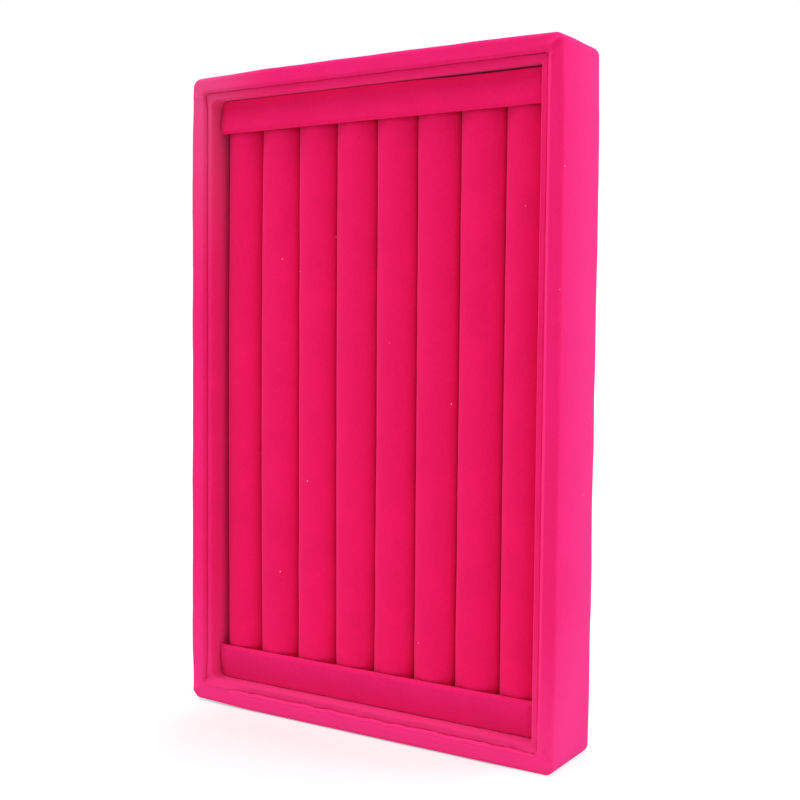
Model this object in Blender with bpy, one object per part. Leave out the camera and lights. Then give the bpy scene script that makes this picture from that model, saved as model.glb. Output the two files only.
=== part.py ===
"""A velvet ring display tray, standing upright on one short end.

Metres, +Z up. The tray's opening faces -Y, its back is towards +Y, its width runs along X and its length
stands along Z. The origin is the middle of the footprint of the end that it stands on.

The frame is four boards and a base board in a velvet wrap. A thinner velvet-covered liner stands inside it,
a little below the rim. A lift-out insert holds eight velvet-covered foam rolls between two end bars.
"""

import math

import bmesh
import bpy
from mathutils import Vector

# Overall size
TRAY_WIDTH = 0.155
TRAY_HEIGHT = 0.240
TRAY_DEPTH = 0.031

# Clearances
GLUE_GAP = 0.0003
MITRE_GAP = 0.0003
INSERT_SIDE_PLAY = 0.0003
INSERT_FOOT_PLAY = 0.0003
INSERT_HEAD_PLAY = 0.0009
ROLL_GAP = 0.0003

# Velvet, the same cloth on every covered piece
VELVET = 0.0006

# Frame walls and their velvet wrap
WALL_BOARD = 0.0045
BASE_BOARD = 0.0025
CORNER_RADIUS = 0.0040
RIM_OUTER_RADIUS = 0.0025
RIM_INNER_RADIUS = 0.0012
BACK_EDGE_RADIUS = 0.0012
WRAP_TURN_IN = 0.012
WRAP_BACK_MARGIN = 0.012

# Paper-backed panel over the turned margins
BACK_PANEL = 0.0006
BACK_PANEL_INSET = 0.004

# Liner inside the frame
LINER_CARD = 0.0008
LINER_RECESS = 0.0016
LINER_LIP_RADIUS = 0.0012
LINER_TURN_DOWN = 0.008

# Insert
INSERT_CARD = 0.0015
ROLL_COUNT = 8
ROLL_CREST_DEPTH = 0.0067
ROLL_CROWN_SHARE = 0.65
ROLL_FOOT_RADIUS = 0.0020
ROLL_SEAM = 0.0040
BAR_HEIGHT = 0.0120
BAR_FACE_DEPTH = 0.0050
BAR_FACE_RADIUS = 0.0025
BAR_FOOT_RADIUS = 0.0015
BAR_SEAM = 0.0040

# Mesh fineness
CORNER_SEGMENTS = 4
CROWN_SEGMENTS = 9
SHARP_ANGLE = math.radians(40)
MERGE = 0.000001

# Derived places across a wall, from its outer face inwards
SKIN = VELVET + GLUE_GAP
WALL = WALL_BOARD + 2 * SKIN
LINER_OUTER = WALL + GLUE_GAP
LINER = LINER_CARD + 2 * SKIN
LINER_INNER = LINER_OUTER + LINER

# Derived places below the rim, from the rim plane towards the back
WRAP_BACK = TRAY_DEPTH - BACK_PANEL - GLUE_GAP
BOARD_BACK = WRAP_BACK - SKIN
BASE_FRONT = BOARD_BACK - BASE_BOARD
LINER_FOOT = BASE_FRONT - GLUE_GAP
CARD_BACK = BASE_FRONT - GLUE_GAP
CARD_FRONT = CARD_BACK - INSERT_CARD
ROLL_FOOT = CARD_FRONT - GLUE_GAP

# Derived sizes of the insert
INSERT_WIDTH = TRAY_WIDTH - 2 * (LINER_INNER + INSERT_SIDE_PLAY)
INSERT_LOW = LINER_INNER + INSERT_FOOT_PLAY
INSERT_HIGH = TRAY_HEIGHT - LINER_INNER - INSERT_HEAD_PLAY
ROLL_PITCH = (INSERT_WIDTH + ROLL_GAP) / ROLL_COUNT
ROLL_WIDTH = ROLL_PITCH - ROLL_GAP
ROLL_LOW = INSERT_LOW + BAR_HEIGHT + GLUE_GAP
ROLL_HIGH = INSERT_HIGH - BAR_HEIGHT - GLUE_GAP

RIM_Y = -TRAY_DEPTH / 2

# Each wall by name, with its length, the middle of its outer edge at the rim, and its turn about Y
WALLS = (
    ("left", TRAY_HEIGHT, (-TRAY_WIDTH / 2, RIM_Y, TRAY_HEIGHT / 2), 0.0),
    ("right", TRAY_HEIGHT, (TRAY_WIDTH / 2, RIM_Y, TRAY_HEIGHT / 2), math.pi),
    ("bottom", TRAY_WIDTH, (0.0, RIM_Y, 0.0), -math.pi / 2),
    ("top", TRAY_WIDTH, (0.0, RIM_Y, TRAY_HEIGHT), math.pi / 2),
)


def clear_scene():
    for obj in list(bpy.data.objects):
        bpy.data.objects.remove(obj, do_unlink=True)


def make_material(name, colour, roughness):
    material = bpy.data.materials.new(name)
    material.use_nodes = True
    shader = material.node_tree.nodes["Principled BSDF"]
    shader.inputs["Base Color"].default_value = (*colour, 1.0)
    shader.inputs["Roughness"].default_value = roughness
    shader.inputs["Metallic"].default_value = 0.0
    return material


def rounded_outline(corners, segments):
    """The square corners of a flat outline, each (x, y, radius), with every radius drawn as an arc.

    A radius is one length, or the half width and the half depth of an ellipse.
    """
    outline = []
    for index, (x, y, radius) in enumerate(corners):
        here = Vector((x, y))
        reach = Vector(radius) if isinstance(radius, tuple) else Vector((radius, radius))
        if min(reach) <= 0:
            outline.append(here)
            continue
        before = (Vector(corners[index - 1][:2]) - here).normalized()
        after = (Vector(corners[(index + 1) % len(corners)][:2]) - here).normalized()
        for step in range(segments + 1):
            angle = math.pi / 2 * step / segments
            bend = before * (1 - math.sin(angle)) + after * (1 - math.cos(angle))
            outline.append(here + bend * reach)
    return outline


def eased(radius, inset):
    """The radius of the outline that runs this far inside one with this radius."""
    return tuple(part - inset for part in radius)


def skinned_mesh(name, loops):
    """One closed skin through loops of points, with a flat face across the first and the last."""
    builder = bmesh.new()
    rings = [[builder.verts.new(point) for point in loop] for loop in loops]
    for ring, following in zip(rings, rings[1:]):
        for index, corner in enumerate(ring):
            builder.faces.new((ring[index - 1], corner, following[index], following[index - 1]))
    builder.faces.new(rings[0])
    builder.faces.new(rings[-1])
    bmesh.ops.remove_doubles(builder, verts=builder.verts, dist=MERGE)
    bmesh.ops.dissolve_degenerate(builder, edges=builder.edges, dist=MERGE)
    bmesh.ops.recalc_face_normals(builder, faces=builder.faces)
    mesh = bpy.data.meshes.new(name)
    builder.to_mesh(mesh)
    builder.free()
    mesh.shade_smooth()
    mesh.set_sharp_from_angle(angle=SHARP_ANGLE)
    return mesh


def box_mesh(name, size):
    """A board or card of this size, centred on its own origin."""
    builder = bmesh.new()
    bmesh.ops.create_cube(builder, size=1.0)
    bmesh.ops.scale(builder, vec=size, verts=builder.verts)
    mesh = bpy.data.meshes.new(name)
    builder.to_mesh(mesh)
    builder.free()
    return mesh


def place(name, mesh, material, location, turn=0.0, parent=None):
    """A named piece at this place, turned about the Y axis, on its parent where it has one."""
    if not mesh.materials:
        mesh.materials.append(material)
    piece = bpy.data.objects.new(name, mesh)
    bpy.context.scene.collection.objects.link(piece)
    piece.parent = parent
    piece.location = location
    piece.rotation_euler = (0.0, turn, 0.0)
    return piece


def wall_mesh(name, length, section):
    """A wall strip of this section, mitred at both ends.

    The section's points are (inwards from the outer face, below the rim). The strip runs along Z about its
    middle. The tray's outer corners are rounded in front view, and each strip holds its half of two of them.
    """
    reach = length / 2 - MITRE_GAP / math.sqrt(2)

    def corner_loop(angle, end):
        loop = []
        for inwards, below in section:
            bend = max(CORNER_RADIUS - inwards, 0.0)
            along = inwards + bend * (1 - math.sin(angle))
            across = inwards + bend * (1 - math.cos(angle))
            loop.append((across, below, end * (reach - along)))
        return loop

    angles = [math.pi / 4 * step / CORNER_SEGMENTS for step in range(CORNER_SEGMENTS, -1, -1)]
    loops = [corner_loop(angle, -1) for angle in angles]
    loops += [corner_loop(angle, 1) for angle in reversed(angles)]
    return skinned_mesh(name, loops)


def wrap_section():
    """The velvet wrap: back margin, outer side, rim, and the part turned in behind the liner."""
    return rounded_outline((
        (WRAP_BACK_MARGIN, WRAP_BACK, 0.0),
        (0.0, WRAP_BACK, BACK_EDGE_RADIUS),
        (0.0, 0.0, RIM_OUTER_RADIUS),
        (WALL, 0.0, RIM_INNER_RADIUS),
        (WALL, WRAP_TURN_IN, 0.0),
        (WALL - VELVET, WRAP_TURN_IN, 0.0),
        (WALL - VELVET, VELVET, RIM_INNER_RADIUS - VELVET),
        (VELVET, VELVET, RIM_OUTER_RADIUS - VELVET),
        (VELVET, WRAP_BACK - VELVET, BACK_EDGE_RADIUS - VELVET),
        (WRAP_BACK_MARGIN, WRAP_BACK - VELVET, 0.0),
    ), CORNER_SEGMENTS)


def board_section():
    """The wall board, with the edges that the wrap goes round eased to follow it."""
    return rounded_outline((
        (SKIN, BOARD_BACK, BACK_EDGE_RADIUS - SKIN),
        (SKIN, SKIN, RIM_OUTER_RADIUS - SKIN),
        (SKIN + WALL_BOARD, SKIN, RIM_INNER_RADIUS - SKIN),
        (SKIN + WALL_BOARD, BOARD_BACK, 0.0),
    ), CORNER_SEGMENTS)


def liner_velvet_section():
    """The liner's velvet: down the side that shows, over the lip, and a short turn down behind."""
    lip = LINER_RECESS
    turned = lip + LINER_TURN_DOWN
    return rounded_outline((
        (LINER_OUTER, turned, 0.0),
        (LINER_OUTER, lip, LINER_LIP_RADIUS),
        (LINER_INNER, lip, LINER_LIP_RADIUS),
        (LINER_INNER, LINER_FOOT, 0.0),
        (LINER_INNER - VELVET, LINER_FOOT, 0.0),
        (LINER_INNER - VELVET, lip + VELVET, LINER_LIP_RADIUS - VELVET),
        (LINER_OUTER + VELVET, lip + VELVET, LINER_LIP_RADIUS - VELVET),
        (LINER_OUTER + VELVET, turned, 0.0),
    ), CORNER_SEGMENTS)


def liner_card_section():
    """The card strip that stiffens the liner."""
    low_edge = LINER_OUTER + SKIN
    return rounded_outline((
        (low_edge, LINER_FOOT, 0.0),
        (low_edge, LINER_RECESS + SKIN, 0.0),
        (low_edge + LINER_CARD, LINER_RECESS + SKIN, 0.0),
        (low_edge + LINER_CARD, LINER_FOOT, 0.0),
    ), CORNER_SEGMENTS)


def sleeve_section(width, face, foot, face_radius, foot_radius, seam, segments):
    """A velvet sleeve round a core: (across, below the rim), open along a seam at its foot.

    The face radius is the half width and the half depth of its rounding.
    """
    half = width / 2
    inner = half - VELVET
    return rounded_outline((
        (seam / 2, foot, 0.0),
        (half, foot, foot_radius),
        (half, face, face_radius),
        (-half, face, face_radius),
        (-half, foot, foot_radius),
        (-seam / 2, foot, 0.0),
        (-seam / 2, foot - VELVET, 0.0),
        (-inner, foot - VELVET, foot_radius - VELVET),
        (-inner, face + VELVET, eased(face_radius, VELVET)),
        (inner, face + VELVET, eased(face_radius, VELVET)),
        (inner, foot - VELVET, foot_radius - VELVET),
        (seam / 2, foot - VELVET, 0.0),
    ), segments)


def core_section(width, face, foot, face_radius, foot_radius, segments):
    """The core inside such a sleeve, clear of it all round."""
    half = width / 2 - SKIN
    return rounded_outline((
        (half, foot - SKIN, foot_radius - SKIN),
        (half, face + SKIN, eased(face_radius, SKIN)),
        (-half, face + SKIN, eased(face_radius, SKIN)),
        (-half, foot - SKIN, foot_radius - SKIN),
    ), segments)


def extruded_mesh(name, section, length):
    """A section of (across, below the rim) points, drawn out along Z from its own origin."""
    loops = [[(across, below, height) for across, below in section] for height in (0.0, length)]
    return skinned_mesh(name, loops)


def make_walls(name, section, material):
    """Four mitred strips of one section, one to each wall of the frame."""
    for side, length, location, turn in WALLS:
        mesh = wall_mesh(f"{name}_{side}", length, section)
        place(f"{name}_{side}", mesh, material, location, turn)


def make_frame(velvet, board):
    """The boards, the base between them, and the velvet wrap over rim and sides."""
    make_walls("wall_board", board_section(), board)
    make_walls("frame_velvet", wrap_section(), velvet)
    inside = SKIN + WALL_BOARD + GLUE_GAP
    size = (TRAY_WIDTH - 2 * inside, BASE_BOARD, TRAY_HEIGHT - 2 * inside)
    centre = (0.0, RIM_Y + BASE_FRONT + BASE_BOARD / 2, TRAY_HEIGHT / 2)
    place("base_board", box_mesh("base_board", size), board, centre)


def make_back_panel(panel):
    """The thin panel that hides the wrap's turned margins on the back."""
    size = (TRAY_WIDTH - 2 * BACK_PANEL_INSET, BACK_PANEL, TRAY_HEIGHT - 2 * BACK_PANEL_INSET)
    centre = (0.0, RIM_Y + TRAY_DEPTH - BACK_PANEL / 2, TRAY_HEIGHT / 2)
    place("back_panel", box_mesh("back_panel", size), panel, centre)


def make_liner(velvet, card):
    """The velvet-covered card strips that stand inside the frame."""
    make_walls("liner_card", liner_card_section(), card)
    make_walls("liner_velvet", liner_velvet_section(), velvet)


def make_insert(velvet, card, foam):
    """The card, the rolls and the end bars, which lift out together towards -Y."""
    lift = bpy.data.objects.new("insert_lift", None)
    bpy.context.scene.collection.objects.link(lift)
    lift.location = (0.0, RIM_Y, INSERT_LOW)
    height = INSERT_HIGH - INSERT_LOW

    size = (INSERT_WIDTH, INSERT_CARD, height)
    centre = (0.0, CARD_FRONT + INSERT_CARD / 2, height / 2)
    place("insert_card", box_mesh("insert_card", size), card, centre, parent=lift)

    crown = (ROLL_WIDTH / 2, ROLL_WIDTH / 2 * ROLL_CROWN_SHARE)
    roll = (ROLL_WIDTH, ROLL_CREST_DEPTH, ROLL_FOOT, crown, ROLL_FOOT_RADIUS)
    roll_length = ROLL_HIGH - ROLL_LOW
    sleeve = extruded_mesh("roll_velvet", sleeve_section(*roll, ROLL_SEAM, CROWN_SEGMENTS), roll_length)
    core = extruded_mesh("roll_foam", core_section(*roll, CROWN_SEGMENTS), roll_length)
    for index in range(ROLL_COUNT):
        middle = ROLL_PITCH * (index - (ROLL_COUNT - 1) / 2)
        at = (middle, 0.0, ROLL_LOW - INSERT_LOW)
        place(f"roll_foam_{index + 1}", core, foam, at, parent=lift)
        place(f"roll_velvet_{index + 1}", sleeve, velvet, at, parent=lift)

    bar_face = (BAR_FACE_RADIUS, BAR_FACE_RADIUS)
    bar = (BAR_HEIGHT, BAR_FACE_DEPTH, ROLL_FOOT, bar_face, BAR_FOOT_RADIUS)
    sleeve = extruded_mesh("end_bar_velvet", sleeve_section(*bar, BAR_SEAM, CORNER_SEGMENTS), INSERT_WIDTH)
    core = extruded_mesh("end_bar_core", core_section(*bar, CORNER_SEGMENTS), INSERT_WIDTH)
    for side, middle in (("bottom", BAR_HEIGHT / 2), ("top", height - BAR_HEIGHT / 2)):
        at = (-INSERT_WIDTH / 2, 0.0, middle)
        place(f"end_bar_core_{side}", core, foam, at, math.pi / 2, lift)
        place(f"end_bar_velvet_{side}", sleeve, velvet, at, math.pi / 2, lift)


def main():
    clear_scene()
    velvet = make_material("velvet", (0.83, 0.014, 0.13), 0.9)
    board = make_material("fibreboard", (0.42, 0.30, 0.19), 0.8)
    card = make_material("card", (0.50, 0.47, 0.43), 0.85)
    foam = make_material("foam", (0.82, 0.78, 0.70), 0.95)
    panel = make_material("back_paper", (0.70, 0.013, 0.11), 0.8)
    make_frame(velvet, board)
    make_back_panel(panel)
    make_liner(velvet, card)
    make_insert(velvet, card, foam)


main()
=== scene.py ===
"""A velvet ring display tray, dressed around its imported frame. Metres, +Z up, the open face towards -Y."""

import math

import bmesh
import bpy
from mathutils import Matrix, Vector, noise


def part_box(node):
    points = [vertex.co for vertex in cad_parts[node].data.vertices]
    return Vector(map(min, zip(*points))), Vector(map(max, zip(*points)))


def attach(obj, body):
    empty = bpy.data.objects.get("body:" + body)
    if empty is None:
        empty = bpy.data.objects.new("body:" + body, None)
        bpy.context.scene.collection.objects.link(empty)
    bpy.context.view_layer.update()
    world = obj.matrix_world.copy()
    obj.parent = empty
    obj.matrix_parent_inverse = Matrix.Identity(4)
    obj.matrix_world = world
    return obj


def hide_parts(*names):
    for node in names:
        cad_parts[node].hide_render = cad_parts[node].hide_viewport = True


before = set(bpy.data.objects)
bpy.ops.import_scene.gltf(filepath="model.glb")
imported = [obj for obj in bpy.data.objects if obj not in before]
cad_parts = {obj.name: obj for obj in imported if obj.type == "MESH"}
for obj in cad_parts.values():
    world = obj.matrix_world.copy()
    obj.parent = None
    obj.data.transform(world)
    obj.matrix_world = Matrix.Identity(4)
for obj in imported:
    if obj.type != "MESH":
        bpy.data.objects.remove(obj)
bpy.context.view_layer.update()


# The studio: a camera a little above the middle of the standing tray, a pale floor that keeps a faint shadow,
# a white room all round, and two broad soft lamps, one above the tray's left front and one above its right.
CAMERA_PLACE = Vector((0.24216, -0.37355, 0.14523))
CAMERA_BACK_AZIMUTH = math.radians(32.060)
CAMERA_BACK_ELEVATION = math.radians(3.304)
CAMERA_ROLL = math.radians(0.540)
CAMERA_LENS = 55.197
CAMERA_SENSOR = 36.0
CAMERA_CLIP = 0.01
WHITE = (1.0, 1.0, 1.0)
ROOM_LIGHT = 0.66
LAMP_AIM = Vector((0.0, 0.0, 0.12))
FLOOR_SIZE = 6.0
FLOOR_PAPER = (0.80, 0.80, 0.80)
FLOOR_WHITE = 1.16

# How much of the floor's plain paper the camera sees, with the shadow on it, and how far that reaches: round
# the tray, before its front, and by how much less along the line where its front stands.
SHADOW_REACH = (0.16, 0.5)
SHADOW_SHARE = 0.38
CAST_MIDDLE = (0.0, -0.030, 0.0)
CAST_REACH = (0.048, 0.086)
CAST_SHARE = 0.56
CONTACT_EDGE = -0.0155
CONTACT_REACH = 0.02
CONTACT_SHARE = 0.22


class Shade:
    """One output socket of a material. Sums and products of sockets add their Math nodes."""

    def __init__(self, tree, socket=None):
        self.tree = tree
        self.socket = socket

    def node(self, kind, settings=None, output=0, **inputs):
        """A node with these settings. Its sockets are given by name, or by number after an underline, as
        values or as other outputs. The output is a number or a name. A node that ends the tree gives None."""
        made = self.tree.nodes.new(kind)
        for name, value in (settings or {}).items():
            if name == "stops":
                ramp = made.color_ramp
                while len(ramp.elements) < len(value):
                    ramp.elements.new(0.5)
                for element, (position, colour) in zip(ramp.elements, value):
                    element.position = position
                    element.color = (*colour, 1.0)
            else:
                setattr(made, name, value)
        for name, value in inputs.items():
            socket = made.inputs[int(name[1:]) if name[1:].isdigit() else name.replace("_", " ")]
            if isinstance(value, Shade):
                self.tree.links.new(value.socket, socket)
            elif hasattr(value, "__len__") and len(value) == 3 and socket.type == "RGBA":
                socket.default_value = (*value, 1.0)
            else:
                socket.default_value = value
        return Shade(self.tree, made.outputs[output]) if made.outputs else None

    def math(self, operation, first, second=0.0):
        return self.node("ShaderNodeMath", {"operation": operation}, _0=first, _1=second)

    def __add__(self, other):
        return self.math("ADD", self, other)

    def __radd__(self, other):
        return self.math("ADD", other, self)

    def __sub__(self, other):
        return self.math("SUBTRACT", self, other)

    def __rsub__(self, other):
        return self.math("SUBTRACT", other, self)

    def __mul__(self, other):
        return self.math("MULTIPLY", self, other)

    def __rmul__(self, other):
        return self.math("MULTIPLY", other, self)

    def part(self, axis):
        """One coordinate of a place."""
        return self.node("ShaderNodeSeparateXYZ", None, axis, Vector=self)

    def fade(self, full, none, high=1.0):
        """The value high up to full and 0 from none on, smooth between."""
        return self.node(
            "ShaderNodeMapRange", {"interpolation_type": "SMOOTHSTEP"}, 0,
            _0=self, _1=full, _2=none, _3=high, _4=0.0,
        )

    def blend(self, low, high):
        """The colour low where this output is 0 and high where it is 1."""
        return self.node("ShaderNodeMix", {"data_type": "RGBA"}, 2, _0=self, _6=low, _7=high)

    def between(self, low, high, deep, light):
        """The colour deep up to low and light from high on, even between."""
        return self.node("ShaderNodeValToRGB", {"stops": ((low, deep), (high, light))}, 0, Fac=self)

    def here(self):
        """The place on the piece, in the tray's own coordinates."""
        return self.node("ShaderNodeTexCoord", None, "Object")

    def clouds(self, scale, detail):
        """Soft noise at this place, from 0 to 1."""
        return self.node("ShaderNodeTexNoise", None, 0, Vector=self, Scale=scale, Detail=detail)

    def cells(self, scale):
        """How far this place lies from the nearest of many scattered points."""
        return self.node("ShaderNodeTexVoronoi", None, 0, Vector=self, Scale=scale)


def new_material(name):
    """An empty material, with a Shade to build it from."""
    material = bpy.data.materials.new(name)
    material.use_nodes = True
    material.node_tree.nodes.clear()
    return material, Shade(material.node_tree)


def area_lamp(name, place, size, watts):
    """A square soft lamp that is turned to the tray's middle."""
    lamp = bpy.data.lights.new(name, "AREA")
    lamp.shape = "SQUARE"
    lamp.size = size
    lamp.energy = watts
    holder = bpy.data.objects.new(name, lamp)
    holder.location = place
    holder.rotation_mode = "QUATERNION"
    holder.rotation_quaternion = (LAMP_AIM - Vector(place)).to_track_quat("-Z", "Y")
    bpy.context.scene.collection.objects.link(holder)


back = Vector((
    math.sin(CAMERA_BACK_AZIMUTH) * math.cos(CAMERA_BACK_ELEVATION),
    -math.cos(CAMERA_BACK_AZIMUTH) * math.cos(CAMERA_BACK_ELEVATION),
    math.sin(CAMERA_BACK_ELEVATION),
))
level_right = Vector((0, 0, 1)).cross(back).normalized()
level_up = back.cross(level_right)
camera_right = level_right * math.cos(CAMERA_ROLL) + level_up * math.sin(CAMERA_ROLL)
camera_up = back.cross(camera_right)
camera = bpy.data.objects.new("camera", bpy.data.cameras.new("camera"))
camera.data.lens = CAMERA_LENS
camera.data.sensor_width = CAMERA_SENSOR
camera.data.clip_start = CAMERA_CLIP
camera_turn = Matrix((camera_right, camera_up, back)).transposed().to_4x4()
camera.matrix_world = Matrix.Translation(CAMERA_PLACE) @ camera_turn
bpy.context.scene.collection.objects.link(camera)
bpy.context.scene.camera = camera
bpy.context.scene.view_settings.view_transform = "Standard"


def seen_directly(start):
    """1 for a ray from the camera or one mirrored by something glossy, and 0 for light on the tray."""
    path = "ShaderNodeLightPath"
    seen = [start.node(path, None, ray) for ray in ("Is Camera Ray", "Is Glossy Ray", "Is Transmission Ray")]
    return start.math("MINIMUM", seen[0] + seen[1] + seen[2], 1.0)


world = bpy.data.worlds.new("white_room")
world.use_nodes = True
world.node_tree.nodes.clear()
room = Shade(world.node_tree)
strength = ROOM_LIGHT + seen_directly(room) * (1.0 - ROOM_LIGHT)
lit_room = room.node("ShaderNodeBackground", None, 0, Color=WHITE, Strength=strength)
room.node("ShaderNodeOutputWorld", Surface=lit_room)
bpy.context.scene.world = world

area_lamp("left_lamp", place=(-0.48, -0.38, 1.17), size=0.8, watts=8.2)
area_lamp("right_lamp", place=(0.60, 0.02, 1.10), size=0.7, watts=8.0)

floor_material, start = new_material("pale_floor")
paper = start.node("ShaderNodeBsdfDiffuse", None, 0, Color=FLOOR_PAPER)
white = start.node("ShaderNodeEmission", None, 0, Color=WHITE, Strength=FLOOR_WHITE)
place = start.here()
distance = start.node("ShaderNodeVectorMath", {"operation": "LENGTH"}, "Value", _0=place)
near_tray = distance.fade(*SHADOW_REACH, SHADOW_SHARE)
before = start.math("ABSOLUTE", place.part("Y") - CONTACT_EDGE)
from_middle = start.node("ShaderNodeVectorMath", {"operation": "DISTANCE"}, "Value", _0=place, _1=CAST_MIDDLE)
cast_share = CAST_SHARE - before.fade(0.0, CONTACT_REACH, CONTACT_SHARE)
near_front = from_middle.fade(*CAST_REACH) * cast_share
share = seen_directly(start) * (1.0 - near_tray - near_front)
mixed = start.node("ShaderNodeMixShader", None, 0, _0=share, _1=paper, _2=white)
start.node("ShaderNodeOutputMaterial", Surface=mixed)
builder = bmesh.new()
bmesh.ops.create_grid(builder, x_segments=1, y_segments=1, size=FLOOR_SIZE)
floor_mesh = bpy.data.meshes.new("floor")
builder.to_mesh(floor_mesh)
builder.free()
floor_mesh.materials.append(floor_material)
floor = bpy.data.objects.new("floor", floor_mesh)
bpy.context.scene.collection.objects.link(floor)


# The wall boards and the base board between them: sawn fibreboard, mitred and glued. They stay as the frame
# has them, hidden in the velvet except for the base when the insert is out.
MM = 0.001
BOARD_BROWN = (0.36, 0.24, 0.14)
BOARD_PALE = (0.52, 0.38, 0.24)
FIBRE_SCALE = 900.0
STAIN_SCALE = 70.0
FIBRE_HEIGHT = 0.08 * MM


def principled(start, colour, roughness, bump, height, **constants):
    """Ends a material in a Principled surface with this bump, its constant sockets set on it."""
    normal = start.node("ShaderNodeBump", None, 0, Strength=1.0, Distance=height, Height=bump)
    surface = start.node(
        "ShaderNodeBsdfPrincipled", None, 0,
        Base_Color=colour, Roughness=roughness, Normal=normal, **constants,
    )
    start.node("ShaderNodeOutputMaterial", Surface=surface)


def coat(nodes, material):
    """Gives nodes of the frame this material, their shapes left as they are."""
    for node in nodes:
        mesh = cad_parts[node].data
        mesh.materials.clear()
        mesh.materials.append(material)


board_material, start = new_material("fibreboard")
place = start.here()
fibres = place.clouds(FIBRE_SCALE, detail=4.0)
stains = place.clouds(STAIN_SCALE, detail=3.0)
grain = fibres * 0.7 + stains * 0.3
board_colour = grain.between(0.35, 0.65, BOARD_BROWN, BOARD_PALE)
principled(start, board_colour, roughness=0.75 + fibres * 0.15, bump=fibres, height=FIBRE_HEIGHT)
coat(
    ("wall_board_left", "wall_board_right", "wall_board_bottom", "wall_board_top", "base_board"),
    board_material,
)


# The frame's wrap: one band of short-pile velvet round the outside, turned over the rim and in behind the
# liner, and glued down as a margin on the back. Its spare cloth is folded to a dart at each rim corner.
TRAY_WIDTH = 155 * MM
TRAY_HEIGHT = 240 * MM
RIM_DEPTH = -15.5 * MM
WRAP_BACK = 14.6 * MM
WRAP_THICKNESS = 0.6 * MM
RIM_WIDTH = 6.3 * MM
TURN_IN = 12 * MM
BACK_MARGIN = 12 * MM
OUTER_ROUND = 2.5 * MM
HOLE_CORNER = 1.5 * MM
INNER_ROUND = 0.8 * MM
INNER_STRETCH = 2.2
SOFT_EDGE_SINK = 0.3 * MM
BACK_ROUND = 1.2 * MM
BROAD_STEPS = 7
INNER_STEPS = 5
SMALL_STEPS = 4
NEAR = 0.01 * MM
SHARP_ANGLE = math.radians(75)
TURN_ANGLE = 1.0
STRAIGHT = 0.99
FACING = 0.5
WANDER_SEED = 11

# The rounding of each outer corner: whether it lies at the right, whether at the top, and its radius.
CORNER_ROUNDS = {
    (False, False): 3.9 * MM,
    (False, True): 3.6 * MM,
    (True, False): 3.0 * MM,
    (True, True): 3.0 * MM,
}

# The velvet's shades and the tint of its pile from the side, then the light painted into its colour: painted
# haze at the tray's foot and along its left wall, painted sheen towards the back of its sides, painted flare
# haze at its top left corner, a painted highlight along the right rim's inner edge, and painted shade on the
# liner's lowest strip. A reach is where a shade begins to fade and where it ends.
WRAP_DEEP = (0.76, 0.010, 0.128)
WRAP_LIGHT = (0.88, 0.014, 0.158)
WRAP_BLOOM = (1.0, 0.09, 0.60)
LINER_BLOOM = (1.0, 0.14, 0.55)
WRAP_PAINTED_HAZE = (0.86, 0.033, 0.205)
PALE_FOOT = (4 * MM, 60 * MM, 0.8)
PALE_LEFT = (-76 * MM, -68 * MM, 0.25)
PALE_BACK = (14 * MM, -14 * MM, 0.80)
WRAP_CORNER_HAZE = (0.79, 0.056, 0.200)
HAZE_STRETCH = Vector((1.3, 1.0, 0.6))
HAZE_CORNER = Vector((-TRAY_WIDTH / 2, RIM_DEPTH, TRAY_HEIGHT)) * HAZE_STRETCH
HAZE_REACH = (5 * MM, 55 * MM)
EDGE_HIGHLIGHT = (0.97, 0.030, 0.205)
HIGHLIGHT_AT = TRAY_WIDTH / 2 - RIM_WIDTH + 1.0 * MM
HIGHLIGHT_REACH = (0.4 * MM, 1.1 * MM)
HIGHLIGHT_DEPTH = (RIM_DEPTH + 0.3 * MM, RIM_DEPTH + 0.9 * MM)
HIGHLIGHT_LENGTH = (110 * MM, 114 * MM)
LINER_PAINTED_SHADE = (0.73, 0.027, 0.160)
PAINTED_SHADE_REACH = (9 * MM, 13 * MM, 0.8)
LINT = (0.95, 0.45, 0.60)
LINT_SCALE = 85.0
LINT_SIZE = 0.022
LINT_SHARE = 0.8
PATCH_SCALE = 75.0
NAP_SCALE = 900.0
PILE_SCALE = 4200.0
PILE_HEIGHT = 0.09 * MM


def painted_haze_and_sheen(place):
    """The share of painted light that makes the pile look paler: painted haze at the tray's foot and along
    its left wall, and painted sheen on its sides towards the back."""
    foot = place.part("Z").fade(*PALE_FOOT)
    wall = place.part("X").fade(*PALE_LEFT)
    sheen_to_back = place.part("Y").fade(*PALE_BACK)
    return place.math("MINIMUM", foot + wall + sheen_to_back, 1.0)


def painted_corner_haze(place):
    """The share of painted flare haze that makes the pile look pale: all of it at the tray's top left corner,
    less down the wall."""
    vector_math = "ShaderNodeVectorMath"
    narrowed = place.node(vector_math, {"operation": "MULTIPLY"}, 0, _0=place, _1=HAZE_STRETCH)
    from_corner = place.node(vector_math, {"operation": "DISTANCE"}, "Value", _0=narrowed, _1=HAZE_CORNER)
    return from_corner.fade(*HAZE_REACH)


def painted_highlight(place):
    """The share of painted highlight: a bright band along the right rim's inner edge, where the cloth turns
    in sharply.
    """
    off_edge = place.math("ABSOLUTE", place.part("X") - HIGHLIGHT_AT)
    off_middle = place.math("ABSOLUTE", place.part("Z") - TRAY_HEIGHT / 2)
    return off_edge.fade(*HIGHLIGHT_REACH) * place.part("Y").fade(*HIGHLIGHT_DEPTH) * off_middle.fade(*HIGHLIGHT_LENGTH)


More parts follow.
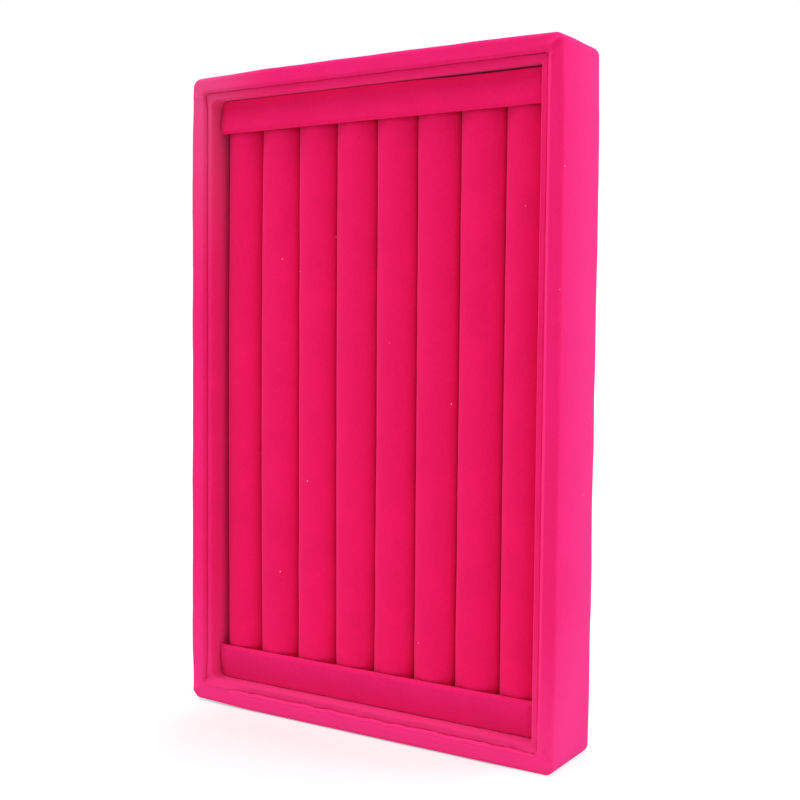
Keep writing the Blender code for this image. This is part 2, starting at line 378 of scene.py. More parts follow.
def velvet(name, deep, light, bloom, with_painted_light=False, painted_shade=None):
    """Short-pile velvet between two shades, with this tint where its pile is seen from the side. When painted
    light is asked for, it gets the wrap's painted haze, sheen and highlight. Its last shade, when given, is
    painted shade on the lowest strip."""
    material, start = new_material(name)
    place = start.here()
    patches = place.clouds(PATCH_SCALE, detail=3.0)
    nap = place.clouds(NAP_SCALE, detail=2.0)
    pile = place.clouds(PILE_SCALE, detail=1.0)
    tone = patches * 0.45 + nap * 0.3 + pile * 0.25
    cloth = tone.between(0.3, 0.7, deep, light)
    # Painted haze, painted sheen and a painted highlight, mixed into the cloth's colour.
    if with_painted_light:
        cloth = painted_corner_haze(place).blend(painted_haze_and_sheen(place).blend(cloth, WRAP_PAINTED_HAZE), WRAP_CORNER_HAZE)
        cloth = painted_highlight(place).blend(cloth, EDGE_HIGHLIGHT)
    # Painted shade on the lowest strip, mixed into the cloth's colour.
    if painted_shade:
        cloth = place.part("Z").fade(*PAINTED_SHADE_REACH).blend(cloth, painted_shade)
    lint = start.math("LESS_THAN", place.cells(LINT_SCALE), LINT_SIZE)
    cloth = (lint * LINT_SHARE).blend(cloth, LINT)
    principled(
        start, cloth, roughness=0.95, bump=pile * 0.6 + nap * 0.4, height=PILE_HEIGHT,
        Sheen_Weight=0.55, Sheen_Roughness=0.45, Sheen_Tint=(*bloom, 1.0), Specular_IOR_Level=0.1,
    )
    return material


# The wrap's and the liner's velvet carry painted light, and the liner also painted shade at its foot.
wrap_velvet = velvet("wrap_velvet", WRAP_DEEP, WRAP_LIGHT, WRAP_BLOOM, with_painted_light=True)
liner_velvet = velvet("liner_velvet", WRAP_DEEP, WRAP_LIGHT, LINER_BLOOM, with_painted_light=True, painted_shade=LINER_PAINTED_SHADE)


def new_piece(name, builder, material, body, nodes):
    """The finished mesh as a piece of the tray, in place of these nodes of the frame."""
    bmesh.ops.remove_doubles(builder, verts=builder.verts, dist=NEAR)
    bmesh.ops.dissolve_degenerate(builder, edges=builder.edges, dist=NEAR)
    for edge in builder.edges:
        edge.smooth = edge.calc_face_angle(0.0) < SHARP_ANGLE
    mesh = bpy.data.meshes.new(name)
    builder.to_mesh(mesh)
    builder.free()
    mesh.materials.append(material)
    mesh.shade_smooth()
    piece = bpy.data.objects.new(name, mesh)
    bpy.context.scene.collection.objects.link(piece)
    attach(piece, body)
    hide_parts(*nodes)
    return piece


def box_builder(low, high):
    """A bmesh block between two corners."""
    builder = bmesh.new()
    low, high = Vector(low), Vector(high)
    bmesh.ops.create_cube(builder, size=1.0)
    bmesh.ops.scale(builder, vec=high - low, verts=builder.verts)
    bmesh.ops.translate(builder, vec=(low + high) / 2, verts=builder.verts)
    return builder


def face_towards(builder, direction):
    """The face that looks the most in this direction."""
    return max(builder.faces, key=lambda face: face.normal.dot(Vector(direction)))


def round_edges(builder, chosen, radius, segments):
    """Rounds the edges for which chosen(edge) holds."""
    edges = [edge for edge in builder.edges if chosen(edge)]
    bmesh.ops.bevel(
        builder, geom=edges, offset=radius, offset_type="OFFSET", segments=segments, profile=0.5,
        affect="EDGES", material=-1, clamp_overlap=True,
    )


def cut_across(builder, axis, places):
    """Cuts the mesh by planes across one axis, so that it can bend there."""
    normal = Vector([float(axis == index) for index in range(3)])
    for at in places:
        geom = builder.verts[:] + builder.edges[:] + builder.faces[:]
        bmesh.ops.bisect_plane(builder, geom=geom, dist=NEAR / 10, plane_co=normal * at, plane_no=normal)


def evenly(low, high, step):
    """Places between low and high, about a step apart, without the two ends."""
    count = max(1, round((high - low) / step))
    return [low + (high - low) * index / count for index in range(1, count)]


noise.seed_set(WANDER_SEED)


def sway(point, size, start):
    """A smooth wander of three small numbers, the same for points that lie together."""
    return noise.noise_vector(point / size + Vector((start, 0.0, 0.0)))


def turn_in(builder, width, depth):
    """Opens the front of a hollow block this far inwards, and turns the edge of the opening in this deep."""
    front = face_towards(builder, (0, -1, 0))
    bmesh.ops.inset_region(builder, faces=[front], thickness=width, use_even_offset=True)
    turned = bmesh.ops.extrude_face_region(builder, geom=[front])["geom"]
    edge = [part for part in turned if isinstance(part, bmesh.types.BMVert)]
    bmesh.ops.translate(builder, vec=(0, depth, 0), verts=edge)
    inner = [part for part in turned if isinstance(part, bmesh.types.BMFace)]
    bmesh.ops.delete(builder, geom=[front] + inner, context="FACES_ONLY")


wrap = box_builder((-TRAY_WIDTH / 2, RIM_DEPTH, 0.0), (TRAY_WIDTH / 2, WRAP_BACK, TRAY_HEIGHT))
turn_in(wrap, RIM_WIDTH, TURN_IN)
rear = face_towards(wrap, (0, 1, 0))
bmesh.ops.inset_region(wrap, faces=[rear], thickness=BACK_MARGIN, use_even_offset=True)
bmesh.ops.delete(wrap, geom=[rear], context="FACES_ONLY")


def at_side(vert):
    return abs(abs(vert.co.x) - TRAY_WIDTH / 2) < NEAR or min(vert.co.z, TRAY_HEIGHT - vert.co.z) < NEAR


def at_depth(edge, depth):
    return all(abs(vert.co.y - depth) < NEAR for vert in edge.verts)


def runs_deep(edge):
    return abs((edge.verts[0].co - edge.verts[1].co).normalized().y) > STRAIGHT


def insets(point):
    """How far a point lies inwards from the nearer side wall's face and from the nearer end's face."""
    return TRAY_WIDTH / 2 - abs(point.x), min(point.z, TRAY_HEIGHT - point.z)


def is_corner(edge, right, top):
    """Whether a deep edge of the tray's outside lies at this corner."""
    place = edge.verts[0].co
    outside = runs_deep(edge) and all(map(at_side, edge.verts))
    return outside and (place.x > 0) == right and (place.z > TRAY_HEIGHT / 2) == top


def turns_at(edge, depth, low, high):
    """Whether the cloth turns square along this edge, at this depth and this far inwards."""
    if not at_depth(edge, depth) or len(edge.link_faces) < 2 or edge.calc_face_angle(0) < TURN_ANGLE:
        return False
    return all(low <= min(insets(vert.co)) <= high for vert in edge.verts)


def at_hole(vert):
    return abs(min(insets(vert.co)) - RIM_WIDTH) < NEAR


for (right, top), radius in CORNER_ROUNDS.items():
    round_edges(wrap, lambda edge: is_corner(edge, right, top), radius, BROAD_STEPS)
round_edges(wrap, lambda edge: turns_at(edge, RIM_DEPTH, -NEAR, RIM_WIDTH / 2), OUTER_ROUND, BROAD_STEPS)
round_edges(wrap, lambda edge: runs_deep(edge) and all(map(at_hole, edge.verts)), HOLE_CORNER, SMALL_STEPS)
round_edges(
    wrap, lambda edge: turns_at(edge, RIM_DEPTH, RIM_WIDTH / 2, 2 * RIM_WIDTH), INNER_ROUND, INNER_STEPS
)
round_edges(wrap, lambda edge: turns_at(edge, WRAP_BACK, -NEAR, RIM_WIDTH / 2), BACK_ROUND, SMALL_STEPS)

# Finer cuts near the corners, where the cloth is folded, and wide ones where it only wavers.
FINE = 0.5 * MM
WIDE = 2.5 * MM
DEEP_CUTS = 3.5 * MM
CORNER_REACH = 11 * MM


def corner_cuts(low, high):
    """Places for cuts: close together near both ends and further apart between."""
    inner_low, inner_high = low + CORNER_REACH, high - CORNER_REACH
    return (
        evenly(low, inner_low, FINE) + [inner_low] + evenly(inner_low, inner_high, WIDE) + [inner_high]
        + evenly(inner_high, high, FINE)
    )


# Each fold of a corner: which corner, its crest's two ends in millimetres from the side and from the end, how
# high it stands, and how wide it slopes away towards the end wall and towards the side wall.
FOLDS = (
    (True, True, (5.6, 5.2), (0.8, 2.6), 0.90, 1.9, 1.2),
    (True, True, (5.4, 8.6), (3.6, 7.4), 0.50, 0.9, 1.0),
    (False, True, (6.6, 8.3), (1.2, 8.0), 0.28, 3.0, 0.5),
    (False, False, (6.8, 7.0), (1.4, 3.6), 0.45, 0.8, 2.2),
    (True, False, (6.6, 6.8), (6.0, 6.0), -0.6, 0.8, 0.8),
    (True, False, (2.8, 7.9), (1.0, 4.8), -0.32, 1.0, 1.0),
)
FOLD_NEAR = 7 * MM
FOLD_BEGINS = (-0.35, 0.05)
FOLD_ENDS = (0.95, 1.4)


def corner_place(right, top, side, end):
    """The place on the rim this many millimetres from one side and one end."""
    across = TRAY_WIDTH / 2 - side * MM
    return Vector((across if right else -across, RIM_DEPTH, TRAY_HEIGHT - end * MM if top else end * MM))


cut_across(wrap, 0, corner_cuts(-TRAY_WIDTH / 2, TRAY_WIDTH / 2))
cut_across(wrap, 2, corner_cuts(0.0, TRAY_HEIGHT))
cut_across(wrap, 1, evenly(RIM_DEPTH + OUTER_ROUND, WRAP_BACK - BACK_ROUND, DEEP_CUTS))
for right, top, first, last, *_ in FOLDS:
    first, last = corner_place(right, top, *first), corner_place(right, top, *last)
    middle = (first + last) / 2
    near = [
        face for face in wrap.faces
        if face.normal.y < -FACING and (face.calc_center_median() - middle).length < FOLD_NEAR
    ]
    parts = set(near)
    for face in near:
        parts.update(face.edges)
        parts.update(face.verts)
    across = (last - first).cross(Vector((0, 1, 0))).normalized()
    bmesh.ops.bisect_plane(wrap, geom=list(parts), dist=NEAR / 10, plane_co=first, plane_no=across)


# The wanders of the cloth, broad and small, each with its size and its place in the noise. The seat's reaches
# are for the whole rim and for the bottom besides, and the wrap's for its broad and for its small wander.
SEAT_BROAD = (6 * MM, 3.0)
SEAT_SMALL = (2.8 * MM, 9.0)
SEAT_SHARES = (0.65, 0.35)
SEAT_REACHES = (0.22 * MM, 0.55 * MM)
SEAT_FADE = 4 * MM
WRAP_BROAD = (24 * MM, 1.0)
WRAP_SMALL = (8 * MM, 5.0)
WRAP_REACHES = (0.22 * MM, 0.09 * MM)
WRAP_FADE = 3 * MM
FOOT_FADE = 1.5 * MM
LOW_END = (12 * MM, 20 * MM)
RIGHT_SIDE = (58 * MM, 66 * MM)
LEFT_RIM_WIDER = 0.45 * MM
LEFT_RIM_FADES = (2.2 * MM, 6 * MM)
SOFT_EDGE = 2 * MM


def step(low, high, value):
    """0 below low, 1 above high, smooth between."""
    share = min(max((value - low) / (high - low), 0.0), 1.0)
    return share * share * (3 - 2 * share)


def low_end(point):
    """1 along the bottom wall, where the cloth is the most uneven, and 0 elsewhere."""
    return 1.0 - step(*LOW_END, point.z)


def right_side(point):
    """1 along the right wall, where the groove beside the liner is the deepest, and 0 elsewhere."""
    return step(*RIGHT_SIDE, point.x)


def seat_sway(point):
    """The wander of the line where rim and liner meet, shared by both. The rim is wider at the left."""
    side, end = insets(point)
    near = 1.0 - step(0.0, SEAT_FADE, abs(min(side, end) - RIM_WIDTH))
    flat = Vector((point.x, 0.0, point.z))
    drift = sway(flat, *SEAT_BROAD) * SEAT_SHARES[0] + sway(flat, *SEAT_SMALL) * SEAT_SHARES[1]
    reach = (SEAT_REACHES[0] + SEAT_REACHES[1] * low_end(point)) * near
    if side >= end:
        return Vector((0.0, 0.0, drift.z * reach))
    off_line, off_corner = LEFT_RIM_FADES
    wider = LEFT_RIM_WIDER * (1.0 - step(0.0, off_line, abs(side - RIM_WIDTH))) if point.x < 0 else 0.0
    return Vector((drift.x * reach + wider * step(0.0, off_corner, end - side), 0.0, 0.0))


def fold_height(point):
    """How far the folded cloth stands up from the rim at this place."""
    height = 0.0
    for right, top, first, last, crest, end_slope, side_slope in FOLDS:
        if (point.x > 0) != right or (point.z > TRAY_HEIGHT / 2) != top:
            continue
        along = Vector(last) - Vector(first)
        offset = Vector(insets(point)) / MM - Vector(first)
        share = offset.dot(along) / along.length_squared
        off = (along.x * offset.y - along.y * offset.x) / along.length
        ridge = max(1.0 - abs(off) / (end_slope if off > 0 else side_slope), 0.0)
        height += crest * MM * ridge * step(*FOLD_BEGINS, share) * (1.0 - step(*FOLD_ENDS, share))
    return height


# How far the outer faces are drawn in at each corner, from the side and from the end, where the cloth is
# pulled tight over the boards, how far along the walls that reaches, and where and how much of the end's draw
# is gone behind the rim.
CORNER_DRAWS = {
    (False, False): (0.5 * MM, 0.65 * MM),
    (False, True): (0.6 * MM, 0.6 * MM),
    (True, False): (0.15 * MM, 0.0),
    (True, True): (0.6 * MM, 0.4 * MM),
}
DRAW_REACH = 35 * MM
DRAW_FADES = (1 * MM, 13 * MM)
DRAW_GONE = 0.8


def drawn_in(point):
    """The move of an outer face towards the tray's middle, near a corner."""
    right, top = point.x > 0, point.z > TRAY_HEIGHT / 2
    from_side, from_end = CORNER_DRAWS[right, top]
    side, end = insets(point)
    inwards = from_side * (1.0 - step(0.0, DRAW_REACH, end)) * (1.0 - step(0.0, RIM_WIDTH, side))
    along = from_end * (1.0 - step(0.0, DRAW_REACH, side)) * (1.0 - step(0.0, RIM_WIDTH, end))
    along *= 1.0 - DRAW_GONE * step(*DRAW_FADES, point.y - RIM_DEPTH)
    return Vector((-inwards if right else inwards, 0.0, -along if top else along))


OPENING_SHIFT = 0.45 * MM
SHIFT_FROM = 2 * MM
PRESSED_LEFT = (17 * MM, 27 * MM)
PRESSED_RIGHT = (8 * MM, 15 * MM)
PRESSED_RIGHT_SHARE = 0.5
PRESSED_HEIGHT = (6.5 * MM, 9 * MM)


def right_shift(point):
    """The shift of the opening to the right of the tray's middle, which the wrap and the liner share."""
    inside = step(SHIFT_FROM, RIM_WIDTH, min(insets(point)))
    return Vector((OPENING_SHIFT * inside * step(0.0, TRAY_WIDTH / 4, point.x), 0.0, 0.0))


def pressed(point):
    """1 where rim and liner are pressed so close that no groove shows, at the left end of the bottom wall,
    and less at its right end."""
    left = 1.0 - step(*PRESSED_LEFT, point.x + TRAY_WIDTH / 2)
    right = PRESSED_RIGHT_SHARE * (1.0 - step(*PRESSED_RIGHT, TRAY_WIDTH / 2 - point.x))
    return (left + right) * (1.0 - step(*PRESSED_HEIGHT, point.z))


def shift_all(builder, move_of):
    """Moves every point of the mesh by its own move, each worked out before any of them has moved."""
    builder.normal_update()
    moves = [move_of(vert, vert.co.copy()) for vert in builder.verts]
    for vert, move in zip(builder.verts, moves):
        vert.co += move


def wrap_move(vert, point):
    """The move of one point of the wrap."""
    inwards = min(insets(point))
    drift = sway(point, *WRAP_BROAD).x * WRAP_REACHES[0] + sway(point, *WRAP_SMALL).x * WRAP_REACHES[1]
    away = 1.0 - step(RIM_WIDTH - WRAP_FADE, RIM_WIDTH, inwards)
    move = vert.normal * drift * step(0.0, FOOT_FADE, point.z) * away
    move += seat_sway(point) + right_shift(point) + drawn_in(point)
    move.y -= fold_height(point) * max(-vert.normal.y, 0.0) * away
    if point.y < RIM_DEPTH + INNER_ROUND + NEAR and inwards > RIM_WIDTH - INNER_ROUND - NEAR:
        move.y += (point.y - RIM_DEPTH) * (INNER_STRETCH * (1.0 - pressed(point)) - 1.0)
    if point.y < RIM_DEPTH + NEAR:
        soft = step(RIM_WIDTH - SOFT_EDGE, RIM_WIDTH, inwards) * max(low_end(point), right_side(point))
        move.y += SOFT_EDGE_SINK * soft * (1.0 - pressed(point))
    return move


shift_all(wrap, wrap_move)


def thicken(piece, thickness):
    """Gives a sheet its thickness, inwards from the side that shows."""
    shell = piece.modifiers.new("thickness", "SOLIDIFY")
    shell.thickness = thickness
    shell.offset = -1.0
    shell.use_quality_normals = True
    return piece


thicken(new_piece(
    "frame_wrap", wrap, wrap_velvet, "tray",
    ("frame_velvet_left", "frame_velvet_right", "frame_velvet_bottom", "frame_velvet_top"),
), WRAP_THICKNESS)


# The back panel: pink paper on a thin card, pressed over the wrap's margins. It is cut a little smaller than
# the tray, and its corners are clipped by hand.
PANEL_LOW, PANEL_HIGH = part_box("back_panel")
PANEL_CORNER = 1.5 * MM
PANEL_EDGE = 0.2 * MM
PANEL_STEPS = 2
PAPER_DEEP = (0.60, 0.010, 0.085)
PAPER_LIGHT = (0.74, 0.018, 0.125)
PULP_SCALE = 1100.0
SHADE_SCALE = 28.0
PULP_HEIGHT = 0.05 * MM

paper_material, start = new_material("back_paper")
place = start.here()
pulp = place.clouds(PULP_SCALE, detail=5.0)
shade = place.clouds(SHADE_SCALE, detail=2.0)
ink = pulp * 0.6 + shade * 0.4
paper_colour = ink.between(0.3, 0.7, PAPER_DEEP, PAPER_LIGHT)
principled(start, paper_colour, roughness=0.62 + pulp * 0.2, bump=pulp, height=PULP_HEIGHT)

panel = box_builder(PANEL_LOW, PANEL_HIGH)
round_edges(panel, runs_deep, PANEL_CORNER, SMALL_STEPS)
round_edges(panel, lambda edge: at_depth(edge, PANEL_HIGH.y), PANEL_EDGE, PANEL_STEPS)
for side in (-1, 1):
    bmesh.ops.inset_region(panel, faces=[face_towards(panel, (0, side, 0))], thickness=PANEL_EDGE)
new_piece("back_paper_panel", panel, paper_material, "tray", ("back_panel",))


# The liner: four strips of grey card inside the frame, standing a little below the rim, and the velvet that
# covers them, drawn over their top edge and tucked down behind.
CARD_GREY = (0.42, 0.39, 0.35)
CARD_PALE = (0.58, 0.55, 0.50)
CARD_FLECK = (0.20, 0.17, 0.14)
CARD_SCALE = 1500.0
FLECK_SCALE = 420.0
FLECK_SIZE = 0.13
FLECK_SHARE = 0.45
CARD_HEIGHT = 0.04 * MM
LINER_OUTER = 6.32 * MM
LINER_WIDTH = 2.88 * MM
LINER_LIP = RIM_DEPTH + 1.6 * MM
LINER_BEHIND = 8 * MM
LINER_FOOT = RIM_DEPTH + 26.4 * MM
LIP_SLOPE = 2.05 * MM
LIP_SINK = 0.9 * MM
RIGHT_SINK = 0.7 * MM
BOTTOM_RISE = 0.3 * MM
LIP_ROUND = 0.8 * MM
LIP_FADE = 2.4 * MM
LIP_STEPS = 6
LIP_STRETCH = 2.2
LIP_RISE = 1.57 * MM
TOP_LIP_SHIFTS = (0.55 * MM, 0.15 * MM)
MITRE = 1 * MM
PUCKER = (5 * MM, 12.0)
PUCKER_REACHES = (0.10 * MM, 0.35 * MM)
SOFT_CORNER = 2.5 * MM
CRISP_CORNER = 1.0 * MM

card_material, start = new_material("grey_card")
place = start.here()
pulp = place.clouds(CARD_SCALE, detail=4.0)
flecks = start.math("LESS_THAN", place.cells(FLECK_SCALE), FLECK_SIZE)
card_colour = (flecks * FLECK_SHARE).blend(pulp.between(0.3, 0.7, CARD_GREY, CARD_PALE), CARD_FLECK)
principled(start, card_colour, roughness=0.85, bump=pulp, height=CARD_HEIGHT)
coat(
    ("liner_card_left", "liner_card_right", "liner_card_bottom", "liner_card_top", "insert_card"),
    card_material,
)

liner_low = Vector((-TRAY_WIDTH / 2 + LINER_OUTER, LINER_LIP, LINER_OUTER))
liner_high = Vector((TRAY_WIDTH / 2 - LINER_OUTER, LINER_LIP + LINER_BEHIND, TRAY_HEIGHT - LINER_OUTER))
liner = box_builder(liner_low, liner_high)
bmesh.ops.delete(liner, geom=[face_towards(liner, (0, 1, 0))], context="FACES_ONLY")
turn_in(liner, LINER_WIDTH, LINER_FOOT - LINER_LIP)


def liner_corner(edge, inwards):
    """Whether an edge runs deep at a corner of the liner that lies this far inwards."""
    return runs_deep(edge) and all(abs(min(insets(vert.co)) - inwards) < NEAR for vert in edge.verts)


def lip_corner(edge, right):
    """Whether an edge runs deep at a corner of the liner's opening, on this side."""
    return liner_corner(edge, LINER_OUTER + LINER_WIDTH) and (edge.verts[0].co.x > 0) == right


for right, radius in ((False, SOFT_CORNER), (True, CRISP_CORNER)):
    round_edges(liner, lambda edge: lip_corner(edge, right), radius, LIP_STEPS)
round_edges(liner, lambda edge: liner_corner(edge, LINER_OUTER), HOLE_CORNER, SMALL_STEPS)
lip_middle = LINER_OUTER + LIP_SLOPE
round_edges(liner, lambda edge: turns_at(edge, LINER_LIP, 0.0, lip_middle), LIP_SLOPE, LIP_STEPS)
round_edges(liner, lambda edge: turns_at(edge, LINER_LIP, lip_middle, 2 * lip_middle), LIP_ROUND, LIP_STEPS)
cut_across(liner, 0, corner_cuts(liner_low.x, liner_high.x))
cut_across(liner, 2, corner_cuts(liner_low.z, liner_high.z))
cut_across(liner, 1, evenly(LINER_LIP + LIP_ROUND, LINER_FOOT, DEEP_CUTS))


def top_lip_shift(end):
    """How far the lip of the top strip, which is the narrowest, lies nearer to the tray's top."""
    inner = LINER_OUTER + LINER_WIDTH
    out, back = TOP_LIP_SHIFTS
    narrowed = out * step(LINER_OUTER, lip_middle, end) - back * step(lip_middle, inner, end)
    return narrowed * (1.0 - step(inner, 3 * inner, end))


def liner_move(vert, point):
    """The move of one point of the liner's velvet."""
    side, end = insets(point)
    pucker = sway(point, *PUCKER).x * (PUCKER_REACHES[0] + PUCKER_REACHES[1] * low_end(point))
    lip = 1.0 - step(LINER_LIP + LIP_ROUND, LINER_LIP + LIP_FADE, point.y)
    move = seat_sway(point) + right_shift(point)
    move.y = (pucker * (1.0 - pressed(point)) - LIP_RISE * pressed(point)) * lip
    if point.z > TRAY_HEIGHT / 2:
        move.z += top_lip_shift(TRAY_HEIGHT - point.z)
    if min(side, end) < lip_middle and point.y < LINER_LIP + LIP_SLOPE + NEAR:
        rise = min(max(1.0 - (point.y - LINER_LIP) / LIP_SLOPE, 0.0), 1.0)
        bottom = low_end(point)
        sink = LIP_SINK + RIGHT_SINK * right_side(point) * (1.0 - bottom) - BOTTOM_RISE * bottom
        sunk = sink * (1.0 - rise * rise) * (1.0 - pressed(point))
        move.y += sunk - (point.y - LINER_LIP)
    elif point.y < LINER_LIP + LIP_ROUND + NEAR:
        top_strip = step(-MITRE, MITRE, side - end) if point.z > TRAY_HEIGHT / 2 else 0.0
        move.y += (point.y - LINER_LIP) * (LIP_STRETCH - 1.0) * (1.0 - top_strip)
    return move


shift_all(liner, liner_move)
thicken(new_piece(
    "liner_cover", liner, liner_velvet, "tray",
    ("liner_velvet_left", "liner_velvet_right", "liner_velvet_bottom", "liner_velvet_top"),
), WRAP_THICKNESS)


# The ring rolls: eight strips of soft foam with a round crown, each drawn tight into a velvet sleeve that is
# closed underneath and glued to the insert's card, so that a ring's band is gripped between two of them.
ROLL_COUNT = 8
ROLL_GAP = 0.3 * MM
FIELD_SIDE = 68.0 * MM
ROLL_CREST = RIM_DEPTH + 6.7 * MM
ROLL_FOOT = RIM_DEPTH + 24.6 * MM
ROLL_LOW = 20.75 * MM
ROLL_HIGH = 219.85 * MM
ROLL_FOOT_ROUND = 2.0 * MM
CROWN_STEPS = 14
CROWN_SHARE = 0.65
SLEEVE = 0.6 * MM
CORE_GAP = 0.9 * MM
ROLL_WANDER = (14 * MM, 0.10 * MM)

# The drift to the right, in millimetres, of each line between two rolls: at its foot, its middle and its top.
EDGE_DRIFTS = (
    (1.05, 0.55, 1.05), (0.4, -0.5, 0.2), (0.6, 0.4, 0.2), (1.1, 0.3, 0.2), (0.9, 0.9, 0.5),
    (0.85, 0.7, 0.3), (0.6, 0.65, 0.7), (1.1, 1.0, 1.1), (0.0, 0.0, 0.0),
)

ROLL_DEEP = (0.735, 0.0047, 0.091)
ROLL_LIGHT = (0.855, 0.0067, 0.113)
ROLL_BLOOM = (1.0, 0.10, 0.45)
FOAM_CREAM = (0.74, 0.69, 0.58)
FOAM_WHITE = (0.86, 0.83, 0.76)
FOAM_CELLS = 1500.0
FOAM_CLOUDS = 120.0
FOAM_HEIGHT = 0.15 * MM

foam_material, start = new_material("foam")
place = start.here()
cells = place.cells(FOAM_CELLS)
soft = place.clouds(FOAM_CLOUDS, detail=2.0)
tone = cells * 0.7 + soft * 0.3
foam_colour = tone.between(0.2, 0.7, FOAM_CREAM, FOAM_WHITE)
principled(start, foam_colour, roughness=0.95, bump=cells, height=FOAM_HEIGHT)
roll_velvet = velvet("roll_velvet", ROLL_DEEP, ROLL_LIGHT, ROLL_BLOOM)


def edge_place(index, height):
    """Where the line between two rolls lies at this height, with the drift of hand-laid foam."""
    low, middle, high = EDGE_DRIFTS[index]
    share = (height - ROLL_LOW) / (ROLL_HIGH - ROLL_LOW)
    ends = low * (1 - share) * (1 - 2 * share) + high * share * (2 * share - 1)
    drift = ends + 4 * middle * share * (1 - share)
    return FIELD_SIDE * (2 * index / ROLL_COUNT - 1) + drift * MM


def roll_builder(index, inset):
    """One roll as a block whose crown and foot are rounded, bent to lie between its two edge lines."""
    half = (2 * FIELD_SIDE / ROLL_COUNT - ROLL_GAP) / 2
    low = (-half + inset, ROLL_CREST + inset, ROLL_LOW)
    high = (half - inset, ROLL_FOOT - inset, ROLL_HIGH)
    roll = box_builder(low, high)

    def long_edge(edge, depth):
        return at_depth(edge, depth) and abs(edge.verts[0].co.z - edge.verts[1].co.z) > ROLL_GAP

    round_edges(roll, lambda edge: long_edge(edge, low[1]), half - inset - NEAR, CROWN_STEPS)
    round_edges(roll, lambda edge: long_edge(edge, high[1]), ROLL_FOOT_ROUND - inset, SMALL_STEPS)
    cut_across(roll, 2, evenly(ROLL_LOW, ROLL_HIGH, WIDE))
    body = ROLL_FOOT - ROLL_CREST
    body_share = (body - half * CROWN_SHARE) / (body - half)
    for vert in roll.verts:
        below = vert.co.y - ROLL_CREST
        if below < half:
            vert.co.y = ROLL_CREST + below * CROWN_SHARE
        else:
            vert.co.y = ROLL_FOOT - (ROLL_FOOT - vert.co.y) * body_share
        left = edge_place(index, vert.co.z) + ROLL_GAP / 2
        right = edge_place(index + 1, vert.co.z) - ROLL_GAP / 2
        vert.co.x = (left + right) / 2 + vert.co.x / half * (right - left) / 2
    return roll


def waver(builder, start, size, reach):
    """Lets a cover wander in and out along its normals, by this reach."""
    builder.normal_update()
    for vert in builder.verts:
        vert.co += vert.normal * sway(vert.co, size, start).x * reach


for index in range(ROLL_COUNT):
    name = str(index + 1)
    core = roll_builder(index, CORE_GAP)
    piece = new_piece("foam_roll_" + name, core, foam_material, "insert", ("roll_foam_" + name,))
    sleeve = roll_builder(index, 0.0)
    ends = [face for face in sleeve.faces if abs(face.normal.z) > STRAIGHT]
    bmesh.ops.delete(sleeve, geom=ends, context="FACES_ONLY")
    waver(sleeve, index, *ROLL_WANDER)
    covered = ("roll_velvet_" + name,)
    piece = new_piece("velvet_roll_" + name, sleeve, roll_velvet, "insert", covered)
    thicken(piece, SLEEVE)


# The end bars: a firm foam bar across each end of the rolls, parcelled in velvet. Its face stands a little
# proud of the rolls, slopes back towards the liner and at its ends, and laps over the rolls with a soft lip.
# Each bar's two shades. They are copies of one velvet with light painted in: the bottom bar's is paler and
# less red, like the painted haze at the tray's foot, and the top bar's is redder.
BAR_PAINTED_SHADES = {
    "bottom": ((0.69, 0.0085, 0.115), (0.80, 0.0115, 0.143)),
    "top": ((0.77, 0.0057, 0.107), (0.89, 0.0085, 0.133)),
}
BAR_SIDE = 68.27 * MM
BAR_FACE = RIM_DEPTH + 4.9 * MM
BAR_ROLL_ROUND = 1.6 * MM
BAR_LINER_ROUND = 0.45 * MM
BAR_CORE_ROUND = 0.3 * MM
BAR_BACK_STEPS = 3
BAR_END_ROUND = 0.7 * MM
BAR_END_RING = 0.4 * MM
BAR_LAP = 1.2 * MM
BAR_CUT = 0.7 * MM
BAR_WANDER = (20.0, 12 * MM, 0.08 * MM)

# How far a bar's face sinks towards the liner, and from which share of its height to which, how far it sinks
# at its left and right end and over which length, and how deep behind the face these sinks end.
BAR_SINK = 1.5 * MM
BAR_SLOPE = (0.25, 1.0)
BAR_END_SINKS = ((1.6 * MM, 6.0 * MM), (1.0 * MM, 3.0 * MM))
BAR_SINK_DEPTH = 6 * MM

# The upper side of the top bar stands higher at its left, up to where the gap above it opens.
TOP_BAR_RISE = 0.55 * MM
TOP_BAR_HALF = (0.5, 1.0)
TOP_GAP_OPENS = (8 * MM, 42 * MM)

# Each bar's lower and upper side, and 1 where the rolls lie above it or -1 where they lie below.
BARS = {"bottom": (9.35 * MM, 21.9 * MM, 1), "top": (218.7 * MM, 230.45 * MM, -1)}


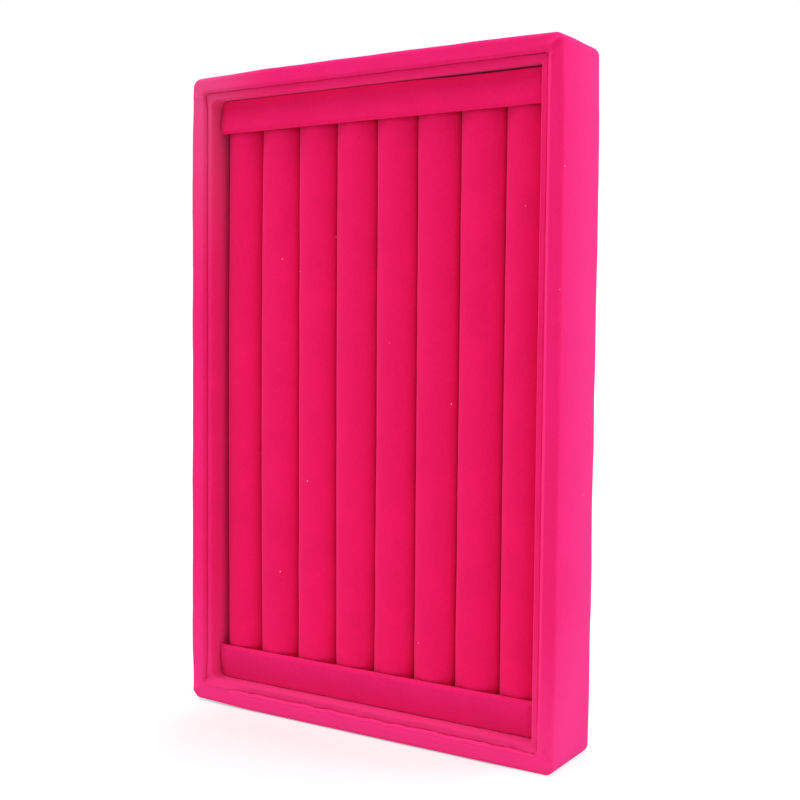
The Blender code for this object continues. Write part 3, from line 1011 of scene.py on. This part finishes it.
def bar_builder(lower, upper, rolls_above, inset):
    """One bar, or its core where there is an inset. The bar laps over the rolls on their side."""
    lap = BAR_LAP if inset else 0.0
    low = Vector((-BAR_SIDE + inset, BAR_FACE + inset, lower + inset + (lap if rolls_above < 0 else 0.0)))
    high = Vector((BAR_SIDE - inset, ROLL_FOOT - inset, upper - inset - (lap if rolls_above > 0 else 0.0)))
    bar = box_builder(low, high)
    roll_side, liner_side = (high.z, low.z) if rolls_above > 0 else (low.z, high.z)

    def runs_wide(edge, depth, side):
        across = abs(edge.verts[0].co.x - edge.verts[1].co.x) > BAR_LAP
        return across and at_depth(edge, depth) and all(abs(vert.co.z - side) < NEAR for vert in edge.verts)

    liner_round = BAR_CORE_ROUND if inset else BAR_LINER_ROUND
    round_edges(bar, lambda edge: runs_wide(edge, low.y, roll_side), BAR_ROLL_ROUND - inset, LIP_STEPS)
    round_edges(bar, lambda edge: runs_wide(edge, low.y, liner_side), liner_round, INNER_STEPS)
    round_edges(bar, lambda edge: runs_wide(edge, high.y, liner_side), BAR_CORE_ROUND, BAR_BACK_STEPS)
    for side in (-1, 1):
        bmesh.ops.inset_region(bar, faces=[face_towards(bar, (side, 0, 0))], thickness=BAR_END_RING)
    cut_across(bar, 0, corner_cuts(low.x, high.x))
    cut_across(bar, 2, evenly(low.z + BAR_ROLL_ROUND, high.z - BAR_ROLL_ROUND, BAR_CUT))
    if not inset:
        cut_across(bar, 1, [BAR_FACE + BAR_ROLL_ROUND + NEAR])
    span = high.z - low.z
    middle = (low.z + high.z) / 2
    for vert in bar.verts:
        from_rolls = abs(vert.co.z - roll_side) / span
        if not inset and vert.co.y > BAR_FACE + BAR_ROLL_ROUND + NEAR / 2 and from_rolls * span < NEAR:
            vert.co.z -= BAR_LAP * rolls_above
        depth = 1.0 - step(BAR_FACE, BAR_FACE + BAR_SINK_DEPTH, vert.co.y)
        vert.co.y += BAR_SINK * depth * step(*BAR_SLOPE, from_rolls)
        for (sink, reach), from_end in zip(BAR_END_SINKS, (vert.co.x - low.x, high.x - vert.co.x)):
            beyond = 1.0 - min(max(from_end / reach, 0.0), 1.0)
            vert.co.y += sink * depth * beyond * beyond
        if rolls_above < 0:
            left = 1.0 - step(*TOP_GAP_OPENS, vert.co.x)
            vert.co.z += TOP_BAR_RISE * left * step(*TOP_BAR_HALF, from_rolls)
        at_end = 1.0 - min((high.x - abs(vert.co.x)) / BAR_END_ROUND, 1.0)
        squeezed = BAR_END_ROUND * (1.0 - math.sqrt(max(1.0 - at_end * at_end, 0.0)))
        vert.co.z -= (vert.co.z - middle) * squeezed / (span / 2)
        vert.co.y += squeezed * depth
    return bar


for side, (lower, upper, rolls_above) in BARS.items():
    core = bar_builder(lower, upper, rolls_above, CORE_GAP)
    piece = new_piece("bar_core_" + side, core, foam_material, "insert", ("end_bar_core_" + side,))
    cover = bar_builder(lower, upper, rolls_above, 0.0)
    waver(cover, *BAR_WANDER)
    bar_velvet = velvet("bar_velvet_" + side, *BAR_PAINTED_SHADES[side], ROLL_BLOOM)
    covered = ("end_bar_velvet_" + side,)
    piece = new_piece("velvet_bar_" + side, cover, bar_velvet, "insert", covered)
